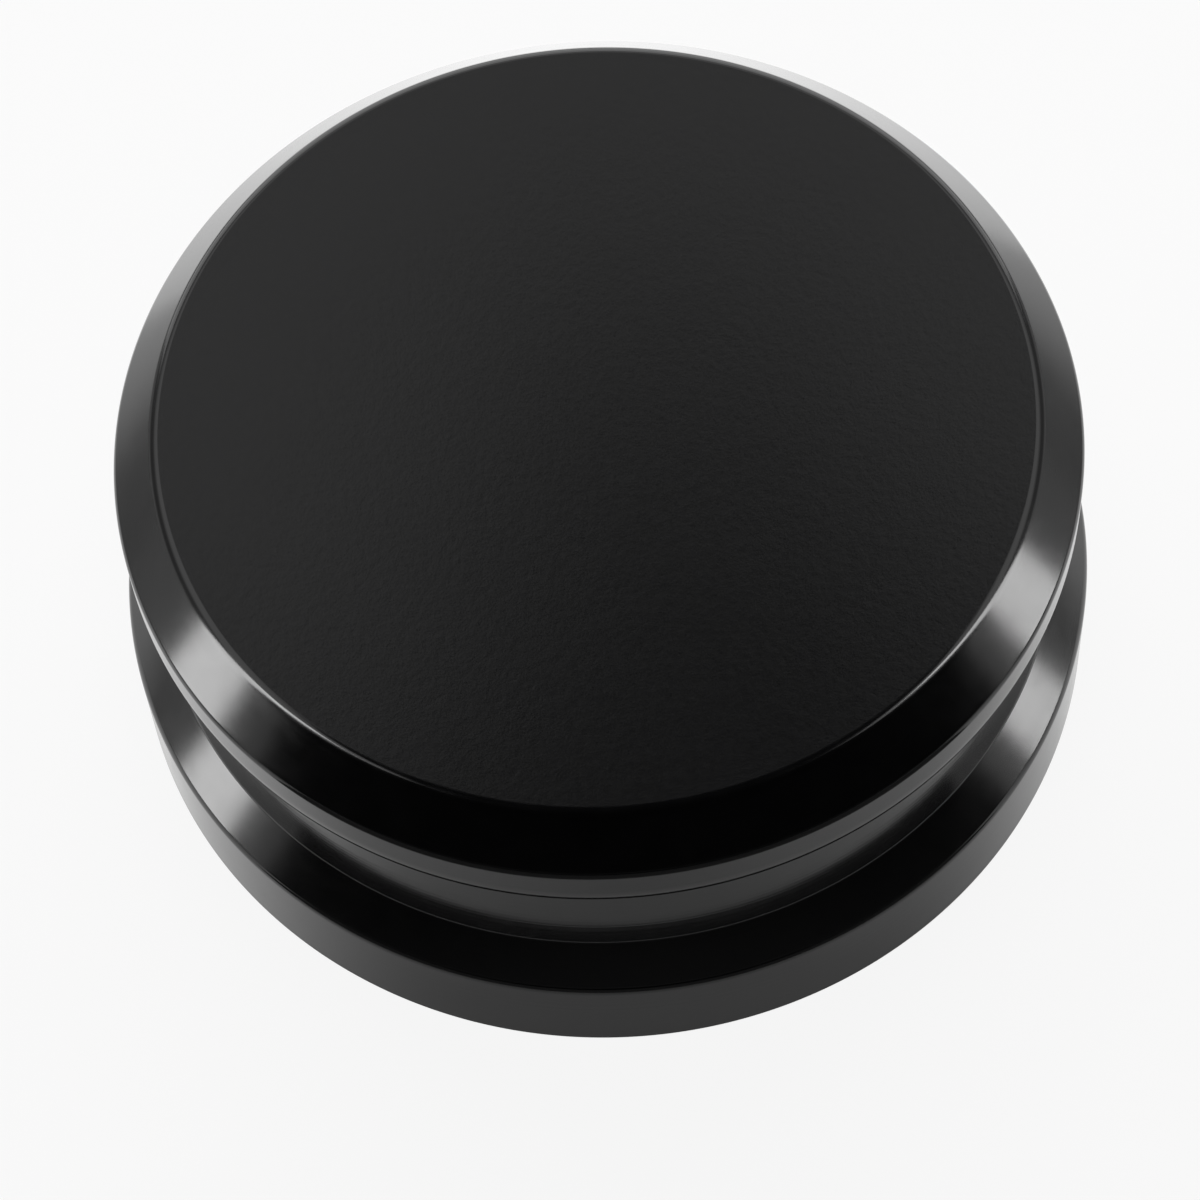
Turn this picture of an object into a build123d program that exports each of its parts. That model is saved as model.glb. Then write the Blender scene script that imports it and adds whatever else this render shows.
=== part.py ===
from build123d import *
from math import radians, tan
import os

os.makedirs("parts", exist_ok=True)

# A record weight turned from one bar: a base, a finger groove round the waist and a bevelled cap.
# It stands with its axis on Z and the middle of its underside at the origin.

# Widest diameter, round the base
base_diameter = 76.0

# Heights up the side
overall_height = 30.2
base_wall_height = 8.7
cap_wall_height = 4.7

# Steps across the side, each as a change of radius: in up the base's bevel to the waist,
# out under the cap's lip, and in again up the cap's bevel to the top face
base_bevel_width = 2.8
cap_overhang = 1.5
cap_bevel_width = 3.4

# Slope of both bevels to the horizontal
bevel_slope = radians(47.5)

# Soft rounds on the outer corners that fingers meet, from the top face down
face_edge_round = 1.0
cap_lip_round = 1.2
base_shoulder_round = 1.1

# Small breaks on the two outer corners that are left crisp
cap_shoulder_break = 0.15
base_foot_break = 0.15

# Radii that the turning tool leaves in the two corners of the groove
groove_root_round = 0.2
groove_foot_round = 0.3

# Blind bore that drops over the turntable's spindle
spindle_diameter = 7.2
spindle_clearance = 0.1
bore_depth = 20.0
drill_point_half_angle = radians(59.0)
bore_lead_in = 0.8

# Radii and heights that follow from the sizes above
base_radius = base_diameter / 2
waist_radius = base_radius - base_bevel_width
cap_radius = waist_radius + cap_overhang
face_radius = cap_radius - cap_bevel_width
groove_foot = base_wall_height + base_bevel_width * tan(bevel_slope)
cap_shoulder = overall_height - cap_bevel_width * tan(bevel_slope)
cap_lip = cap_shoulder - cap_wall_height
bore_radius = spindle_diameter / 2 + spindle_clearance
bore_tip = bore_depth + bore_radius / tan(drill_point_half_angle)

# Half section of the weight, radius along X and height along Z, turned round the axis
with BuildPart() as weight_body:
    with BuildSketch(Plane.XZ) as section:
        with BuildLine():
            Polyline(
                (bore_radius, 0),
                (base_radius, 0),
                (base_radius, base_wall_height),
                (waist_radius, groove_foot),
                (waist_radius, cap_lip),
                (cap_radius, cap_lip),
                (cap_radius, cap_shoulder),
                (face_radius, overall_height),
                (0, overall_height),
                (0, bore_tip),
                (bore_radius, bore_depth),
                close=True,
            )
        make_face()

        def corner(radius, height):
            return section.vertices().sort_by_distance((radius, height))[0]

        # Outer corners, so that no edge is left sharp
        fillet(corner(face_radius, overall_height), face_edge_round)
        fillet(corner(cap_radius, cap_lip), cap_lip_round)
        fillet(corner(base_radius, base_wall_height), base_shoulder_round)
        chamfer(corner(cap_radius, cap_shoulder), cap_shoulder_break)
        chamfer(corner(base_radius, 0), base_foot_break)

        # Inner corners of the groove
        fillet(corner(waist_radius, cap_lip), groove_root_round)
        fillet(corner(waist_radius, groove_foot), groove_foot_round)

        # Countersunk mouth that guides the weight on to the spindle
        chamfer(corner(bore_radius, 0), bore_lead_in)
    revolve(axis=Axis.Z)

weight_body.part.label = "weight_body"
export_step(weight_body.part, "parts/weight_body.step")
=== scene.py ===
# %% [markdown]
# A record weight is turned on a lathe from one bar of aluminium and dyed black.
# It could be modelled from nothing, but its solid is already in the CAD frame, so the sizes start
# from there: everything here is in metres and in the same place.
# The box straight after loading is kept, and its sizes are printed.

# %% Load the frame
import math

import bmesh
import bpy
from mathutils import Matrix, Vector


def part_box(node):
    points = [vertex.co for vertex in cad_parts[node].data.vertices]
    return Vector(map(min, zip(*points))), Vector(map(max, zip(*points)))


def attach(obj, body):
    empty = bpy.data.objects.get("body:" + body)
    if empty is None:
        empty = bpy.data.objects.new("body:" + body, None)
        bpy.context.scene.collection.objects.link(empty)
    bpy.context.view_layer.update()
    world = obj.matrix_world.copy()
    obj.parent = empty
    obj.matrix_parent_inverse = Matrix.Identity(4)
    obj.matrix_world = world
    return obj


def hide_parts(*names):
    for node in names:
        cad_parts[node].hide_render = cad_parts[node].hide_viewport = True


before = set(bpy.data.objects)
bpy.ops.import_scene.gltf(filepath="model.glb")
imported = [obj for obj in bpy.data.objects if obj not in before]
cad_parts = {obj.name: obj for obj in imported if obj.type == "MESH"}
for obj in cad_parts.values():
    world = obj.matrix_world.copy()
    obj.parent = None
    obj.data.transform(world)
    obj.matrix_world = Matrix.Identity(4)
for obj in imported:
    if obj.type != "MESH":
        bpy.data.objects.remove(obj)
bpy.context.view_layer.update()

mm = 0.001
lowest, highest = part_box("weight_body")
print("weight, mm:", [round((high - low) / mm, 2) for low, high in zip(lowest, highest)])

# %% [markdown]
# The half section is what the lathe tool follows: down the spindle bore, out across the underside,
# up the base, round the finger groove, over the cap's bevel and in to the middle of the top face.
# It could be drawn by hand as a curve. Here the overall height and the base's radius are read from
# the frame and the steps between are named, so a changed step carries through to all the others.

# %% Sizes of the half section
top = highest.z
base_radius = highest.x
base_wall = 8.7 * mm
base_bevel = 2.8 * mm
cap_overhang = 1.5 * mm
cap_wall = 4.7 * mm
cap_bevel = 3.4 * mm
bevel_slope = math.radians(47.5)
bore_radius = 3.7 * mm
bore_depth = 20.0 * mm
bore_lead_in = 0.8 * mm
drill_point = math.radians(59.0)

waist_radius = base_radius - base_bevel
cap_radius = waist_radius + cap_overhang
face_radius = cap_radius - cap_bevel
groove_foot = base_wall + base_bevel * math.tan(bevel_slope)
cap_shoulder = top - cap_bevel * math.tan(bevel_slope)
cap_lip = cap_shoulder - cap_wall
bore_tip = bore_depth + bore_radius / math.tan(drill_point)
print("top face across, mm:", round(2 * face_radius / mm, 2))

# %% [markdown]
# A real edge is never sharp: its small round is what catches the thin line of light along it.
# A Bevel modifier could round the edges, but every edge of this weight has a radius of its own.
# So each corner is given with its round, and with the finish of the run that leads up to it.

# %% Corners of the half section
bore_mouth_round = 0.1 * mm
foot_round = 0.15 * mm
base_shoulder_round = 1.1 * mm
groove_foot_round = 0.3 * mm
groove_root_round = 0.2 * mm
cap_lip_round = 0.7 * mm
cap_shoulder_round = 0.9 * mm
face_edge_round = 1.0 * mm
no_round = 0.0

corners = [
    (0.0, bore_tip, no_round, "drilled_bore"),
    (bore_radius, bore_depth, no_round, "drilled_bore"),
    (bore_radius, bore_lead_in, bore_mouth_round, "drilled_bore"),
    (bore_radius + bore_lead_in, 0.0, bore_mouth_round, "drilled_bore"),
    (base_radius, 0.0, foot_round, "turned_underside"),
    (base_radius, base_wall, base_shoulder_round, "turned_wall"),
    (waist_radius, groove_foot, groove_foot_round, "polished_bevel"),
    (waist_radius, cap_lip, groove_root_round, "turned_wall"),
    (cap_radius, cap_lip, cap_lip_round, "turned_wall"),
    (cap_radius, cap_shoulder, cap_shoulder_round, "turned_wall"),
    (face_radius, top, face_edge_round, "polished_bevel"),
    (0.0, top, no_round, "satin_face"),
]
print("corners:", len(corners))

# %% [markdown]
# A corner is rounded by an arc that touches both runs. The arc starts short of the corner by its
# radius times the tangent of half the turn. One more point a little way out on each side keeps the
# flat run flat. The stretch draws the arc out along the run that follows, into an oval.

# %% Round a corner
arc_steps = 12
edge_reach = 0.04 * mm


def rounded_corner(before, corner, after, radius, stretch):
    into = (corner - before).normalized()
    out = (after - corner).normalized()
    turn = into.angle_signed(out)
    setback = radius * abs(math.tan(turn / 2))
    start = corner - into * setback
    centre = start + Vector((into.y, -into.x)) * math.copysign(radius, turn)
    points = [start - into * edge_reach]
    for step in range(arc_steps + 1):
        spoke = start - centre
        spoke.rotate(Matrix.Rotation(-turn * step / arc_steps, 2))
        points.append(centre + spoke)
    points.append(corner + out * (setback + edge_reach))
    points = [point + out * (point - corner).dot(out) * (stretch - 1) for point in points]
    return points, turn < 0


print("points in an arc:", arc_steps + 1)

# %% [markdown]
# The whole section is the corners in order: a sharp one gives one point, a rounded one its arc.
# The arcs of the outer edges are marked, so that the materials can find them later. The cap's lip
# is the one oval: the wall above it darkens into the groove by degrees and not at a hard line.

# %% Half section
lip_stretch = 3.0

section = []
for index, (radius, height, rounding, finish) in enumerate(corners):
    here = Vector((radius, height))
    if not rounding:
        section.append((here, finish, 0.0))
        continue
    before = Vector(corners[index - 1][:2])
    after = Vector(corners[index + 1][:2])
    next_finish = corners[index + 1][-1]
    stretch = lip_stretch if (radius, height) == (cap_radius, cap_lip) else 1.0
    points, outer = rounded_corner(before, here, after, rounding, stretch)
    last = len(points) - 1
    for number, point in enumerate(points):
        run_finish = finish if number < last else next_finish
        section.append((point, run_finish, float(outer and 0 < number < last)))
print("points in the half section:", len(section))

# %% [markdown]
# Turning sweeps every point of the section round the axis. Blender's Spin tool would do it too,
# but making the rings by hand lets each band of faces take its own finish as it is made.
# A point on the axis is a single vertex, so the two ends close as fans of triangles.

# %% Rings and bands
turn_steps = 360
finish_names = ["satin_face", "polished_bevel", "turned_wall", "turned_underside", "drilled_bore"]

weight_mesh = bpy.data.meshes.new("turned_weight")
turning = bmesh.new()
edge_layer = turning.verts.layers.float.new("edge_mark")


def ring_of(point, mark):
    angles = [math.tau * step / turn_steps for step in range(turn_steps)]
    if point.x == 0.0:
        angles = angles[:1]
    ring = []
    for angle in angles:
        vertex = turning.verts.new((point.x * math.cos(angle), point.x * math.sin(angle), point.y))
        vertex[edge_layer] = mark
        ring.append(vertex)
    return ring


def band_between(lower, upper, finish):
    for step in range(turn_steps):
        following = (step + 1) % turn_steps
        sides = [lower[step % len(lower)], lower[following % len(lower)]]
        sides += [upper[following % len(upper)], upper[step % len(upper)]]
        face = turning.faces.new(list(dict.fromkeys(sides)))
        face.material_index = finish_names.index(finish)
        face.smooth = True


print("steps in a turn:", turn_steps)

# %% [markdown]
# The real weight is one piece, so it is one mesh with five finishes and not five meshes that touch.
# It rides on the only body of the frame, and it stands for the CAD solid, which is then hidden.

# %% Turn the weight
rings = [ring_of(point, mark) for point, finish, mark in section]
for index in range(1, len(section)):
    band_between(rings[index - 1], rings[index], section[index][1])
turning.to_mesh(weight_mesh)
turning.free()

weight = bpy.data.objects.new("turned_weight", weight_mesh)
bpy.context.collection.objects.link(weight)
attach(weight, "root")
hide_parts("weight_body")
print("turned weight:", len(weight_mesh.polygons), "faces")

# %% [markdown]
# Smooth shading averages the normals where a flat run meets an arc, and a wide flat would look
# slightly dished. Marking sharp edges would cure that, but it would also put creases by the arcs.
# The Weighted Normal modifier gives the larger face the say instead, so flats stay flat.

# %% Keep the flats flat
flat_first = 100

weighted = weight.modifiers.new("flat_runs", "WEIGHTED_NORMAL")
weighted.mode = "FACE_AREA"
weighted.weight = flat_first
print("modifier:", weighted.name)

# %% [markdown]
# The finishes share a few effects. Each could be built again in every material, but as a node group
# it is made once and placed with its own values. The first helper starts a group with its named
# inputs and outputs, the second adds a node and sets its values, and the third does one sum.

# %% Helpers for node groups
def new_group(name, inputs, outputs):
    group = bpy.data.node_groups.new(name, "ShaderNodeTree")
    for socket, default in inputs.items():
        entry = group.interface.new_socket(socket, in_out="INPUT", socket_type="NodeSocketFloat")
        entry.default_value = default
    for socket in outputs:
        group.interface.new_socket(socket, in_out="OUTPUT", socket_type="NodeSocketFloat")
    return group, group.nodes.new("NodeGroupInput"), group.nodes.new("NodeGroupOutput")


def add(tree, kind, values=None, **settings):
    node = tree.nodes.new(kind)
    for name, value in settings.items():
        setattr(node, name, value)
    for socket, value in (values or {}).items():
        node.inputs[socket].default_value = value
    return node


def math_of(tree, operation, first, second):
    node = add(tree, "ShaderNodeMath", operation=operation)
    for socket, value in zip(node.inputs, (first, second)):
        if isinstance(value, (int, float)):
            socket.default_value = value
        else:
            tree.links.new(value, socket)
    return node.outputs["Value"]


print("helpers:", [helper.__name__ for helper in (new_group, add, math_of)])

# %% [markdown]
# A lathe tool leaves fine rings, one beside the other, because it moves on a little at each turn.
# The place across the rings is a share of the radius plus a share of the height, so one group
# serves a flat face, a wall and a bevel. A Wave texture would make them all alike, so noise along
# that one line is used: it makes rings of uneven depth.

# %% Turned lines
lines, given, result = new_group(
    "Turned lines", {"Radius share": 1.0, "Height share": 0.0, "Line width": 0.2 * mm}, ["Lines"]
)
place = add(lines, "ShaderNodeTexCoord")
parts = add(lines, "ShaderNodeSeparateXYZ")
lines.links.new(place.outputs["Object"], parts.inputs["Vector"])
across = math_of(lines, "MULTIPLY", parts.outputs["X"], parts.outputs["X"])
along = math_of(lines, "MULTIPLY", parts.outputs["Y"], parts.outputs["Y"])
distance = math_of(lines, "SQRT", math_of(lines, "ADD", across, along), 0.0)
radial = math_of(lines, "MULTIPLY", distance, given.outputs["Radius share"])
upward = math_of(lines, "MULTIPLY", parts.outputs["Z"], given.outputs["Height share"])
travel = math_of(lines, "ADD", radial, upward)
spacing = math_of(lines, "DIVIDE", travel, given.outputs["Line width"])
rings_noise = add(lines, "ShaderNodeTexNoise", {"Scale": 1.0, "Detail": 2.0, "Roughness": 0.6},
                  noise_dimensions="1D")
lines.links.new(spacing, rings_noise.inputs["W"])
lines.links.new(rings_noise.outputs["Fac"], result.inputs["Lines"])
print("group:", lines.name)

# %% [markdown]
# The top face was blasted with fine beads before it was dyed, and that leaves a tiny even grain.
# One noise alone looks like a printed pattern, so the mean of a fine and a coarse one is taken.

# %% Blasted grain
coarse_scale = 0.3
share_of_each = 0.5

grain, given, result = new_group("Blasted grain", {"Grain size": 0.2 * mm}, ["Grain"])
place = add(grain, "ShaderNodeTexCoord")
per_grain = math_of(grain, "DIVIDE", 1.0, given.outputs["Grain size"])
fine = add(grain, "ShaderNodeTexNoise", {"Detail": 3.0, "Roughness": 0.7})
grain.links.new(place.outputs["Object"], fine.inputs["Vector"])
grain.links.new(per_grain, fine.inputs["Scale"])
coarse = add(grain, "ShaderNodeTexNoise", {"Detail": 1.0, "Roughness": 0.5})
grain.links.new(place.outputs["Object"], coarse.inputs["Vector"])
grain.links.new(math_of(grain, "MULTIPLY", per_grain, coarse_scale), coarse.inputs["Scale"])
both = math_of(grain, "ADD", fine.outputs["Fac"], coarse.outputs["Fac"])
grain.links.new(math_of(grain, "MULTIPLY", both, share_of_each), result.inputs["Grain"])
print("group:", grain.name)

# %% [markdown]
# Nothing black stays clean. A few specks of dust settle on it, and handling leaves soft patches
# that shine a little differently. Dust could be scattered as tiny meshes, but specks this flat
# are only colour. They are the centres of Voronoi cells, and only the few cells whose own random
# number is low enough show one. A second random number of the cell gives the speck's size.

# %% Dust and handling
largest_speck = 0.035

handled, given, result = new_group(
    "Dust and handling",
    {"Speck spacing": 4.0 * mm, "Share of specks": 0.1, "Patch size": 20.0 * mm},
    ["Dust", "Patches"],
)
place = add(handled, "ShaderNodeTexCoord")
cells = add(handled, "ShaderNodeTexVoronoi", {"Randomness": 1.0})
handled.links.new(place.outputs["Object"], cells.inputs["Vector"])
per_speck = math_of(handled, "DIVIDE", 1.0, given.outputs["Speck spacing"])
handled.links.new(per_speck, cells.inputs["Scale"])
chance = add(handled, "ShaderNodeSeparateColor")
handled.links.new(cells.outputs["Color"], chance.inputs["Color"])
rare = math_of(handled, "LESS_THAN", chance.outputs["Red"], given.outputs["Share of specks"])
speck_size = math_of(handled, "MULTIPLY", chance.outputs["Green"], largest_speck)
near = math_of(handled, "LESS_THAN", cells.outputs["Distance"], speck_size)
handled.links.new(math_of(handled, "MULTIPLY", rare, near), result.inputs["Dust"])
patches = add(handled, "ShaderNodeTexNoise", {"Detail": 3.0, "Roughness": 0.55, "Distortion": 0.4})
per_patch = math_of(handled, "DIVIDE", 1.0, given.outputs["Patch size"])
handled.links.new(place.outputs["Object"], patches.inputs["Vector"])
handled.links.new(per_patch, patches.inputs["Scale"])
handled.links.new(patches.outputs["Fac"], result.inputs["Patches"])
print("group:", handled.name)

# %% [markdown]
# Hands and sleeves rub the outer edges smooth first. A shader can look for edges by itself with
# the Bevel node, but the mesh already carries a mark on those arcs, which is exact and quicker.
# This group breaks the mark up with a little noise, so the rubbed line isn't perfectly even.

# %% Rubbed edges
breaks_per_metre = 900.0

rubbed, given, result = new_group("Rubbed edges", {"Break up": 0.3}, ["Edge"])
mark = add(rubbed, "ShaderNodeAttribute", attribute_name="edge_mark")
place = add(rubbed, "ShaderNodeTexCoord")
uneven = add(rubbed, "ShaderNodeTexNoise", {"Scale": breaks_per_metre, "Detail": 2.0})
rubbed.links.new(place.outputs["Object"], uneven.inputs["Vector"])
loss = math_of(rubbed, "MULTIPLY", uneven.outputs["Fac"], given.outputs["Break up"])
kept = math_of(rubbed, "SUBTRACT", 1.0, loss)
rubbed.links.new(math_of(rubbed, "MULTIPLY", mark.outputs["Fac"], kept), result.inputs["Edge"])
print("group:", rubbed.name)

# %% [markdown]
# Every finish is the same black dye in the same metal, with another surface. Bare metal would be a
# Metallic shader, but here the clear oxide that holds the dye reflects like glass. So each finish
# is a dark Principled shader with its own roughness. The first helper starts one and sets what is
# the same all over it. Where a tool has turned the surface, the tangent runs round the axis. The
# second places a group in it, with the inputs that this finish sets.

# %% Start a finish
oxide_ior = 1.75
blasted_ior = 1.5
dye_black = (0.0025, 0.0025, 0.0027)
dye_grey = (0.0045, 0.0045, 0.0048)


def new_finish(name, ior, anisotropic):
    material = bpy.data.materials.new(name)
    material.use_nodes = True
    tree = material.node_tree
    shader = tree.nodes["Principled BSDF"]
    shader.inputs["IOR"].default_value = ior
    shader.inputs["Anisotropic"].default_value = anisotropic
    if anisotropic:
        around = add(tree, "ShaderNodeTangent", direction_type="RADIAL", axis="Z")
        tree.links.new(around.outputs["Tangent"], shader.inputs["Tangent"])
    weight_mesh.materials.append(material)
    return tree, shader


def place_group(tree, group, **values):
    node = add(tree, "ShaderNodeGroup", node_tree=group)
    for name, value in values.items():
        node.inputs[name.replace("_", " ").capitalize()].default_value = value
    return node


print("dye:", dye_black)

# %% [markdown]
# Three things are done with the masks of the groups in every finish: a mask is spread between two
# values for the roughness, it tints the dye, or it raises a little relief. Relief could be real
# geometry, but rings a few hundredths of a millimetre deep at most are too fine for that.
# The Mix node has sockets of the same name for each kind of data, so the colours are picked out.

# %% Use a mask
def between(tree, source, low, high):
    span = add(tree, "ShaderNodeMapRange", {"To Min": low, "To Max": high})
    tree.links.new(source, span.inputs["Value"])
    return span.outputs["Result"]


def tint(tree, mask, plain, marked):
    mix = add(tree, "ShaderNodeMix", data_type="RGBA")
    tree.links.new(mask, mix.inputs["Factor"])
    for socket, colour in zip(("A", "B"), (plain, marked)):
        target = [entry for entry in mix.inputs if entry.name == socket and entry.type == "RGBA"][0]
        if isinstance(colour, tuple):
            target.default_value = (*colour, 1.0)
        else:
            tree.links.new(colour, target)
    return [entry for entry in mix.outputs if entry.type == "RGBA"][0]


def relief(tree, shader, height, depth, strength):
    bump = add(tree, "ShaderNodeBump", {"Strength": strength, "Distance": depth})
    tree.links.new(height, bump.inputs["Height"])
    tree.links.new(bump.outputs["Normal"], shader.inputs["Normal"])


print("uses of a mask:", [use.__name__ for use in (between, tint, relief)])

# %% [markdown]
# The satin face is the widest surface and the plainest: blasted grain, soft sheen, a few specks.
# One flat black would do from far off, but close up it would look like paint, so its colour drifts
# a little from patch to patch and its roughness follows the grain.

# %% Satin face
dust_grey = (0.16, 0.16, 0.16)
face_roughness = (0.15, 0.23)
face_edge_polish = 0.12

tree, shader = new_finish("satin_face", ior=blasted_ior, anisotropic=0.0)
grains = place_group(tree, grain, grain_size=0.18 * mm)
wear = place_group(tree, handled, speck_spacing=5.0 * mm, share_of_specks=0.16, patch_size=18.0 * mm)
edges = place_group(tree, rubbed, break_up=0.4)
dyed = tint(tree, wear.outputs["Patches"], dye_black, dye_grey)
dusty = tint(tree, wear.outputs["Dust"], dyed, dust_grey)
tree.links.new(dusty, shader.inputs["Base Color"])
grainy = between(tree, grains.outputs["Grain"], *face_roughness)
smoothed = math_of(tree, "MULTIPLY", edges.outputs["Edge"], face_edge_polish)
tree.links.new(math_of(tree, "SUBTRACT", grainy, smoothed), shader.inputs["Roughness"])
relief(tree, shader, grains.outputs["Grain"], depth=0.02 * mm, strength=0.5)
print("finish: satin_face")

# %% [markdown]
# The bevels and the walls were cut with a fine tool and are almost mirrors. Their rings are hardly
# seen one by one, but they smear a reflection across themselves. Deep relief would do that too,
# but with a lot of noise. The shader's Anisotropic does it evenly, so the relief stays slight.
# Both finishes are built alike, so one function makes them.

# %% Fine turned finish
handling_patch = 2.5 * mm
handling_dulls = 0.08
turned_edge_polish = 0.03
turned_edge_breaks = 0.3


def fine_turned(name, smear, radius_share, height_share, line_width, roughness, depth, strength):
    tree, shader = new_finish(name, ior=oxide_ior, anisotropic=smear)
    rings_cut = place_group(tree, lines, radius_share=radius_share, height_share=height_share,
                            line_width=line_width)
    wear = place_group(tree, handled, patch_size=handling_patch)
    edges = place_group(tree, rubbed, break_up=turned_edge_breaks)
    dyed = tint(tree, wear.outputs["Patches"], dye_black, dye_grey)
    tree.links.new(dyed, shader.inputs["Base Color"])
    cut = between(tree, rings_cut.outputs["Lines"], *roughness)
    touched = math_of(tree, "MULTIPLY", wear.outputs["Patches"], handling_dulls)
    smoothed = math_of(tree, "MULTIPLY", edges.outputs["Edge"], turned_edge_polish)
    rough = math_of(tree, "SUBTRACT", math_of(tree, "ADD", cut, touched), smoothed)
    tree.links.new(rough, shader.inputs["Roughness"])
    relief(tree, shader, rings_cut.outputs["Lines"], depth=depth, strength=strength)


print("handling patches, mm:", round(handling_patch / mm, 2))

# %% [markdown]
# The two bevels were cut last and are the brightest surfaces. Their rings run down a slope, so the
# place across them is as much radius as height.

# %% Polished bevel
fine_turned("polished_bevel", smear=0.4, radius_share=0.7, height_share=-0.7, line_width=0.12 * mm,
            roughness=(0.06, 0.15), depth=0.004 * mm, strength=0.3)
print("finish: polished_bevel")

# %% [markdown]
# The walls of the base, the waist and the cap are one step less bright than the bevels. Their
# rings lie one above the other, so the place across them is the height alone.

# %% Turned wall
fine_turned("turned_wall", smear=0.3, radius_share=0.0, height_share=1.0, line_width=0.4 * mm,
            roughness=(0.07, 0.14), depth=0.008 * mm, strength=0.5)
print("finish: turned_wall")

# %% [markdown]
# Nobody sees the underside in use, so it was faced off quickly: its rings are coarse enough to
# see, and it has picked up the light scuffs of the labels that it stands on. The rings could be
# relief alone, but such rings also show as a faint change of grey, so they tint the dye too.

# %% Turned underside
ring_grey = (0.03, 0.03, 0.031)
underside_roughness = (0.22, 0.42)
scuffs_dull = 0.15

tree, shader = new_finish("turned_underside", ior=oxide_ior, anisotropic=0.5)
rings_cut = place_group(tree, lines, radius_share=1.0, height_share=0.0, line_width=0.3 * mm)
wear = place_group(tree, handled, patch_size=9.0 * mm)
dyed = tint(tree, rings_cut.outputs["Lines"], dye_black, ring_grey)
tree.links.new(dyed, shader.inputs["Base Color"])
cut = between(tree, rings_cut.outputs["Lines"], *underside_roughness)
scuffed = math_of(tree, "MULTIPLY", wear.outputs["Patches"], scuffs_dull)
tree.links.new(math_of(tree, "ADD", cut, scuffed), shader.inputs["Roughness"])
relief(tree, shader, rings_cut.outputs["Lines"], depth=0.02 * mm, strength=0.4)
print("finish: turned_underside")

# %% [markdown]
# The bore is drilled, and the drill leaves coarser rings on its wall than a turning tool does.
# The dye takes less well down a narrow hole, so it is a shade greyer there. It could borrow the
# underside's finish, but those rings run across a flat and would be lost on an upright wall.

# %% Drilled bore
bore_black = (0.014, 0.014, 0.015)
bore_grey = (0.05, 0.05, 0.052)
bore_roughness = (0.25, 0.5)

tree, shader = new_finish("drilled_bore", ior=oxide_ior, anisotropic=0.3)
rings_cut = place_group(tree, lines, radius_share=0.4, height_share=1.0, line_width=0.35 * mm)
wear = place_group(tree, handled, patch_size=5.0 * mm)
dyed = tint(tree, wear.outputs["Patches"], bore_black, bore_grey)
tree.links.new(dyed, shader.inputs["Base Color"])
tree.links.new(between(tree, rings_cut.outputs["Lines"], *bore_roughness), shader.inputs["Roughness"])
relief(tree, shader, rings_cut.outputs["Lines"], depth=0.03 * mm, strength=0.5)
print("finishes:", [material.name for material in weight_mesh.materials])

# %% [markdown]
# The floor is a plain white sheet under the weight, and no part of it. A square would do, but its
# corners could show in the polished sides, so it is a disc, a hair below the underside.

# %% Floor
floor_radius = 0.42
floor_sides = 128
floor_gap = 0.02 * mm
floor_turn = math.radians(4.5)

floor_mesh = bpy.data.meshes.new("floor")
sheet = bmesh.new()
bmesh.ops.create_circle(sheet, cap_ends=True, segments=floor_sides, radius=floor_radius)
sheet.to_mesh(floor_mesh)
sheet.free()
floor = bpy.data.objects.new("floor", floor_mesh)
floor.location.z = lowest.z - floor_gap
floor.rotation_euler.z = floor_turn
bpy.context.collection.objects.link(floor)
print("floor across, m:", 2 * floor_radius)

# %% [markdown]
# A white ground could be made with strong light, but that would bleach the object as well. The
# Light Path node tells apart what the camera sees, what mirrors see and what only gives light, so
# the white goes just where it is wanted. The second helper fades one value into another.

# %% What the picture and the mirrors see
def seen_directly(tree, in_picture, in_mirrors):
    path = add(tree, "ShaderNodeLightPath")
    pictured = math_of(tree, "MULTIPLY", path.outputs["Is Camera Ray"], in_picture)
    glossy, through = path.outputs["Is Glossy Ray"], path.outputs["Is Transmission Ray"]
    mirrored = math_of(tree, "MULTIPLY", math_of(tree, "MAXIMUM", glossy, through), in_mirrors)
    return math_of(tree, "MAXIMUM", pictured, mirrored)


def ramp_of(tree, source, start, end, low, high):
    span = add(tree, "ShaderNodeMapRange", {"From Min": start, "From Max": end,
                                            "To Min": low, "To Max": high})
    span.interpolation_type = "SMOOTHSTEP"
    tree.links.new(source, span.inputs["Value"])
    return span.outputs["Result"]


print("helpers:", [helper.__name__ for helper in (seen_directly, ramp_of)])

# %% [markdown]
# The camera and the mirrors see a share of the floor as pure white, so the picture keeps a white
# ground, and the rest is lit for real, so the object's shadow stays. In the mirrors that glowing
# share is painted light and shade: small in front, a painted shadow of the object, and large behind,
# a painted pool of light. It fades with distance together with the lit colour, which greys off away
# from the object as a painted falloff of the light.

# %% White floor with painted light and shadow
pure_white = (1.0, 1.0, 1.0, 1.0)
floor_white = 0.88
# Painted falloff of light: the floor's lit colour greys off away from the object.
painted_falloff_grey = 0.42
painted_pool_within = 105.0 * mm
painted_falloff_beyond = 185.0 * mm
white_in_picture = 0.9
# Painted shadow in front and painted pool of light behind, in the share of pure white the mirrors see.
painted_shadow_glow_front = 0.115
painted_pool_glow_behind = 0.9
painted_shadow_from = -36.0 * mm
painted_shadow_to = -7.0 * mm

floor_material = bpy.data.materials.new("white_floor")
floor_material.use_nodes = True
tree = floor_material.node_tree
tree.nodes.clear()
place = add(tree, "ShaderNodeTexCoord")
from_middle = add(tree, "ShaderNodeVectorMath", operation="LENGTH")
parts = add(tree, "ShaderNodeSeparateXYZ")
tree.links.new(place.outputs["Object"], from_middle.inputs["Vector"])
tree.links.new(place.outputs["Object"], parts.inputs["Vector"])
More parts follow.
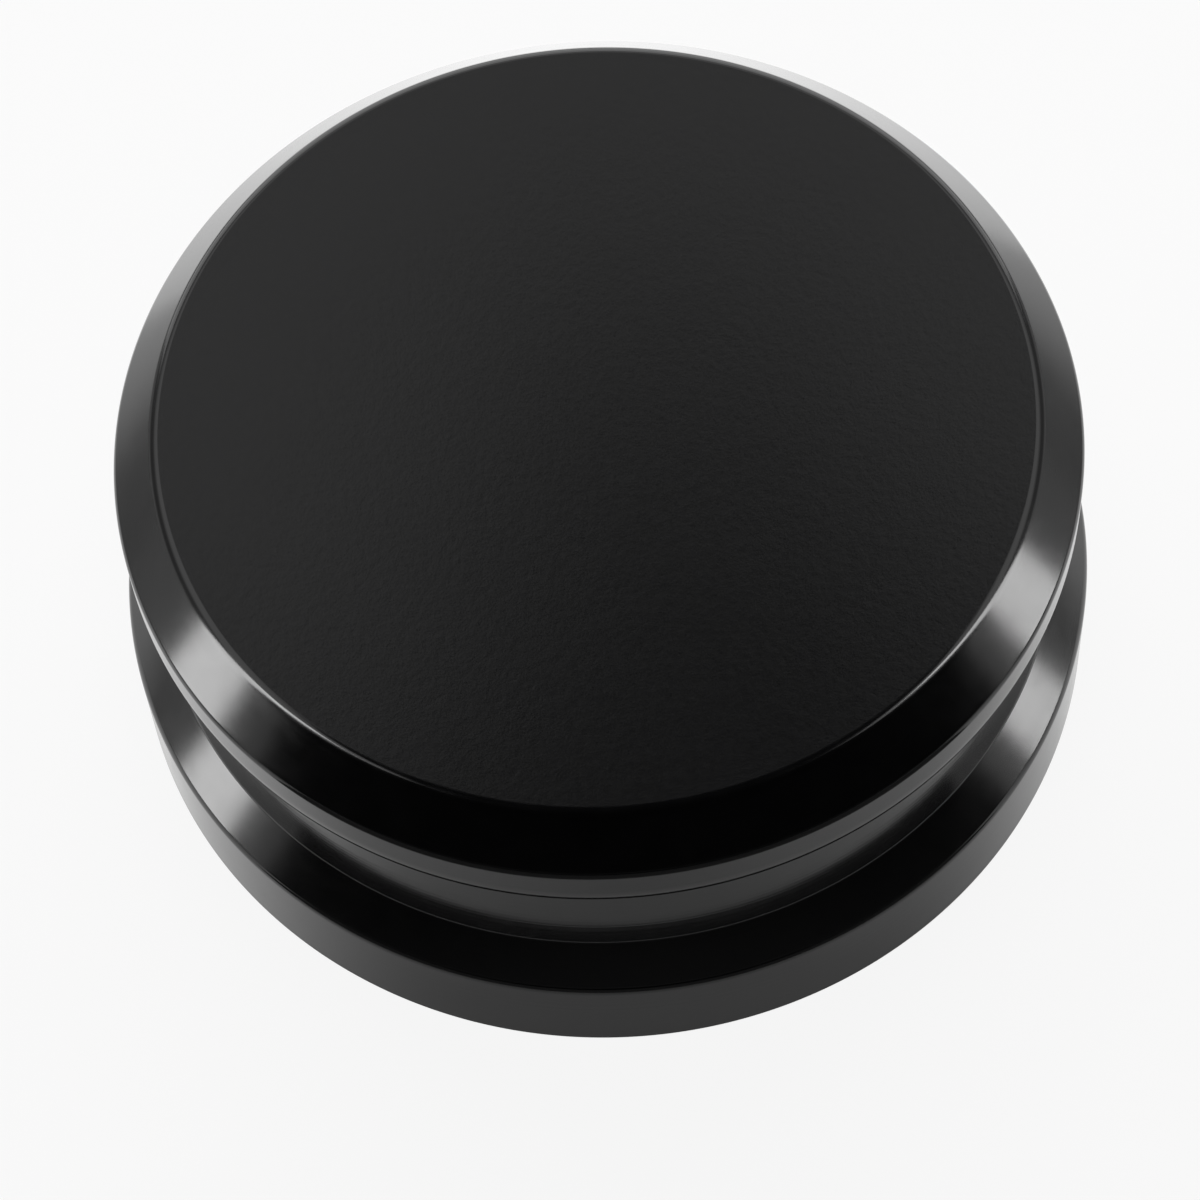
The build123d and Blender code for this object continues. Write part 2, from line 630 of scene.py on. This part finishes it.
# Painted falloff away from the object, for the lit colour and for the glow in the mirrors.
near = ramp_of(tree, from_middle.outputs["Value"], painted_pool_within, painted_falloff_beyond, 1.0, 0.0)
painted_glow_front_to_back = ramp_of(tree, parts.outputs["Y"], painted_shadow_from, painted_shadow_to, painted_shadow_glow_front, painted_pool_glow_behind)
painted_glow_in_mirrors = math_of(tree, "MULTIPLY", near, painted_glow_front_to_back)
lit = add(tree, "ShaderNodeBsdfDiffuse")
tree.links.new(between(tree, near, painted_falloff_grey, floor_white), lit.inputs["Color"])
white = add(tree, "ShaderNodeEmission", {"Color": pure_white, "Strength": 1.0})
blend = add(tree, "ShaderNodeMixShader")
output = add(tree, "ShaderNodeOutputMaterial")
tree.links.new(seen_directly(tree, white_in_picture, painted_glow_in_mirrors), blend.inputs["Fac"])
tree.links.new(lit.outputs["BSDF"], blend.inputs[1])
tree.links.new(white.outputs["Emission"], blend.inputs[2])
tree.links.new(blend.outputs["Shader"], output.inputs["Surface"])
floor_mesh.materials.append(floor_material)
print("floor material:", floor_material.name)

# %% [markdown]
# The room round it is pale. The camera sees it as plain white, and its even light is faint. In the
# mirrors it has a light skirting, dim walls and a lighter ceiling.
# A picture of a real room could stand here, but a room this plain is only a few greys. Each is
# given with its height, which is 0 at the level and 1 straight up.

# %% Greys of the room
room_light = 0.18
greys_by_height = [(0.0, 0.45), (0.1, 0.45), (0.3, 0.18), (0.6, 0.2), (0.78, 0.72), (1.0, 0.72)]


def grey_ramp(tree, source, stops):
    node = add(tree, "ShaderNodeValToRGB")
    elements = node.color_ramp.elements
    ready_made = len(elements)
    for number, (position, grey) in enumerate(stops):
        stop = elements[number] if number < ready_made else elements.new(position)
        stop.position = position
        stop.color = (grey, grey, grey, 1.0)
    tree.links.new(source, node.inputs["Fac"])
    return node.outputs["Color"]


print("greys of the room:", len(greys_by_height))

# %% [markdown]
# The world is three rooms in one: the even light at the bottom, the greys over it for the mirrors,
# and plain white over both for the picture. Each is laid over the last by a Mix Shader.

# %% World
for_mirrors = {"in_picture": 0.0, "in_mirrors": 1.0}
for_picture = {"in_picture": 1.0, "in_mirrors": 0.0}

world = bpy.data.worlds.new("pale_room")
world.use_nodes = True
bpy.context.scene.world = world
tree = world.node_tree
tree.nodes.clear()
direction = add(tree, "ShaderNodeTexCoord")
upward = add(tree, "ShaderNodeSeparateXYZ")
tree.links.new(direction.outputs["Generated"], upward.inputs["Vector"])
walls_to_ceiling = grey_ramp(tree, upward.outputs["Z"], greys_by_height)
soft = add(tree, "ShaderNodeBackground", {"Color": pure_white, "Strength": room_light})
pictured = add(tree, "ShaderNodeBackground", {"Color": pure_white, "Strength": 1.0})
mirrored = add(tree, "ShaderNodeBackground", {"Strength": 1.0})
tree.links.new(walls_to_ceiling, mirrored.inputs["Color"])
below = soft
for shares, above in ((for_mirrors, mirrored), (for_picture, pictured)):
    blend = add(tree, "ShaderNodeMixShader")
    tree.links.new(seen_directly(tree, **shares), blend.inputs["Fac"])
    tree.links.new(below.outputs[0], blend.inputs[1])
    tree.links.new(above.outputs[0], blend.inputs[2])
    below = blend
output = add(tree, "ShaderNodeOutputWorld")
tree.links.new(below.outputs[0], output.inputs["Surface"])
print("world light:", room_light)

# %% [markdown]
# A light's brightness in a mirror is its power over pi times its area. The power could be set by
# eye, but then a wider light would also be a dimmer one, so this helper takes the brightness.

# %% Hang a light
def hang_light(name, place, facing, size, brightness):
    lamp = bpy.data.lights.new(name, "AREA")
    lamp.shape = "RECTANGLE"
    lamp.size, lamp.size_y = size
    lamp.energy = brightness * math.pi * size[0] * size[1]
    light = bpy.data.objects.new(name, lamp)
    light.location = place
    light.rotation_euler = Vector(facing).to_track_quat("-Z", "Y").to_euler()
    light.visible_camera = False
    bpy.context.collection.objects.link(light)
    return light


print("helper:", hang_light.__name__)

# %% [markdown]
# Polished black is shown by what it mirrors, so four of the five lights are there to be mirrored
# and leave the diffuse shading alone. A tall strip on each side makes the bright patches on the
# bevels, a wide panel behind draws the line along the back edge of the top face, and a white card
# on the floor behind makes the pale rim below that line. The fifth is soft and high. It lights the
# scene and gives the shadow, and it is kept out of the mirrors.

# %% Lights
strip_away = 0.8
strip_height = 1.45
strip_middle = strip_height / 2
panel_away = 0.9

mirror_lights = [
    hang_light("left_strip", place=(-strip_away, -0.093, strip_middle), facing=(1.0, 0.1, 0.0),
               size=(0.18, strip_height), brightness=5.6),
    hang_light("right_strip", place=(strip_away, -0.053, strip_middle), facing=(-1.0, 0.07, 0.0),
               size=(0.17, strip_height), brightness=5.0),
    hang_light("back_panel", place=(0.0, panel_away, 0.38), facing=(0.0, -1.0, 0.0),
               size=(1.8, 0.74), brightness=1.0),
    hang_light("floor_card", place=(0.0, 0.105, 0.5 * mm), facing=(0.0, 0.0, 1.0),
               size=(0.15, 0.13), brightness=0.75),
]
for light in mirror_lights:
    light.visible_diffuse = False
soft_light = hang_light("soft_light", place=(0.0, panel_away, 0.55), facing=(0.0, -panel_away, -0.55),
                        size=(2.2, 0.6), brightness=4.0)
soft_light.visible_glossy = False

# %% [markdown]
# Black cloth hangs behind the camera, runs overhead in a narrowing strip and lies on the table in
# front. It is seen in the mirrors only, a painted dark reflection: it keeps the front of the bevels
# black and darkens the reflection in the middle of the top face. Dark patches in the world could
# stand for the far parts, but the cloth on the table is close to the object and has to be in its
# real place, so all of it is a mesh of plain panels. The strip overhead is a row of left edge,
# distance and right edge for each of its seams.

# %% Cut the cloth
hung_at = -0.4
hung_from = 0.0
hung_to = 1.5
hung_left = -1.0
hung_right = 1.3
overhead_outline = [(-0.62, hung_at, 0.7), (-0.5, 0.3, 0.56), (-0.24, 0.62, 0.36), (-0.07, 0.75, 0.19),
                    (-0.05, 0.9, 0.11), (-0.03, 1.0, 0.06)]
apron_near = 52.5 * mm
apron_far = 0.4
apron_height = 0.5 * mm
apron_steps = 16
apron_reach = math.radians(56.0)


def apron_corner(step, radius):
    angle = apron_reach * (2 * step / apron_steps - 1)
    return radius * math.sin(angle), -radius * math.cos(angle), apron_height


cloth_panels = [[
    (hung_left, hung_at, hung_from), (hung_left, hung_at, hung_to),
    (hung_right, hung_at, hung_to), (hung_right, hung_at, hung_from),
]]
for near, far in zip(overhead_outline, overhead_outline[1:]):
    cloth_panels.append([
        (near[0], near[1], hung_to), (far[0], far[1], hung_to),
        (far[2], far[1], hung_to), (near[2], near[1], hung_to),
    ])
for step in range(apron_steps):
    cloth_panels.append([
        apron_corner(step, apron_near), apron_corner(step + 1, apron_near),
        apron_corner(step + 1, apron_far), apron_corner(step, apron_far),
    ])
print("cloth panels:", len(cloth_panels))

# %% [markdown]
# The panels become one mesh, each with four corners of its own. The cloth is there for the mirrors
# only, so it hides nothing and casts no shadow, and it is no part of the object.

# %% Hang the cloth
panel_corners = 4

cloth_mesh = bpy.data.meshes.new("painted_reflection_cloth")
cloth_mesh.from_pydata(
    [corner for panel in cloth_panels for corner in panel], [],
    [[panel_corners * number + corner for corner in range(panel_corners)]
     for number in range(len(cloth_panels))],
)
# A sheet seen only in mirrors: a painted dark reflection.
painted_reflection_cloth = bpy.data.objects.new("painted_reflection_cloth", cloth_mesh)
bpy.context.collection.objects.link(painted_reflection_cloth)
for kind in ("camera", "diffuse", "transmission", "volume_scatter", "shadow"):
    setattr(painted_reflection_cloth, "visible_" + kind, False)
print("cloth faces:", len(cloth_mesh.polygons))

# %% [markdown]
# The cloth glows by an Emission shader, so its greys show as they are written whatever the lamps
# do. On the table and in one band low down it glows a dark grey, a painted dim light in the
# mirrors, and it is black elsewhere. Each grey is given with its share of the height that the ramp
# covers.

# %% Cloth material
# Painted dim light: the grey glow of the cloth in the mirrors, on the table and in one low band.
cloth_painted_glow = 0.06
cloth_black = 0.0
ramp_height = 0.2
painted_glow_up_cloth = [(0.0, cloth_painted_glow), (0.05, cloth_painted_glow), (0.1, cloth_black), (0.44, cloth_black),
                  (0.58, cloth_painted_glow), (0.63, cloth_painted_glow), (0.695, cloth_black)]

cloth_material = bpy.data.materials.new("painted_reflection_cloth")
cloth_material.use_nodes = True
tree = cloth_material.node_tree
tree.nodes.clear()
place = add(tree, "ShaderNodeTexCoord")
parts = add(tree, "ShaderNodeSeparateXYZ")
tree.links.new(place.outputs["Object"], parts.inputs["Vector"])
share = math_of(tree, "DIVIDE", parts.outputs["Z"], ramp_height)
shown = add(tree, "ShaderNodeEmission", {"Strength": 1.0})
output = add(tree, "ShaderNodeOutputMaterial")
tree.links.new(grey_ramp(tree, share, painted_glow_up_cloth), shown.inputs["Color"])
tree.links.new(shown.outputs["Emission"], output.inputs["Surface"])
cloth_mesh.materials.append(cloth_material)
print("cloth material:", cloth_material.name)

# %% [markdown]
# The camera looks down at about sixty degrees with a long lens, and leans over by a few degrees.
# It could follow an empty by a constraint, but it never moves, so it is turned once to its aim.
# The Standard view shows a colour as it is written.

# %% Camera
camera_distance = 341.2 * mm
camera_elevation = math.radians(61.424)
camera_lean = math.radians(-4.645)
camera_aim = Vector((-0.79 * mm, 0.38 * mm, 0.0))

lens = bpy.data.cameras.new("camera")
lens.sensor_fit = "HORIZONTAL"
lens.sensor_width = 36.0
lens.lens = 126.2
lens.clip_start = 0.01
camera = bpy.data.objects.new("camera", lens)
camera.location = camera_distance * Vector(
    (0.0, -math.cos(camera_elevation), math.sin(camera_elevation))
)
looking = (camera_aim - camera.location).to_track_quat("-Z", "Y")
camera.rotation_euler = (looking.to_matrix() @ Matrix.Rotation(camera_lean, 3, "Z")).to_euler()
bpy.context.collection.objects.link(camera)
bpy.context.scene.camera = camera
bpy.context.scene.view_settings.view_transform = "Standard"
print("camera, mm:", [round(value / mm, 1) for value in camera.location])
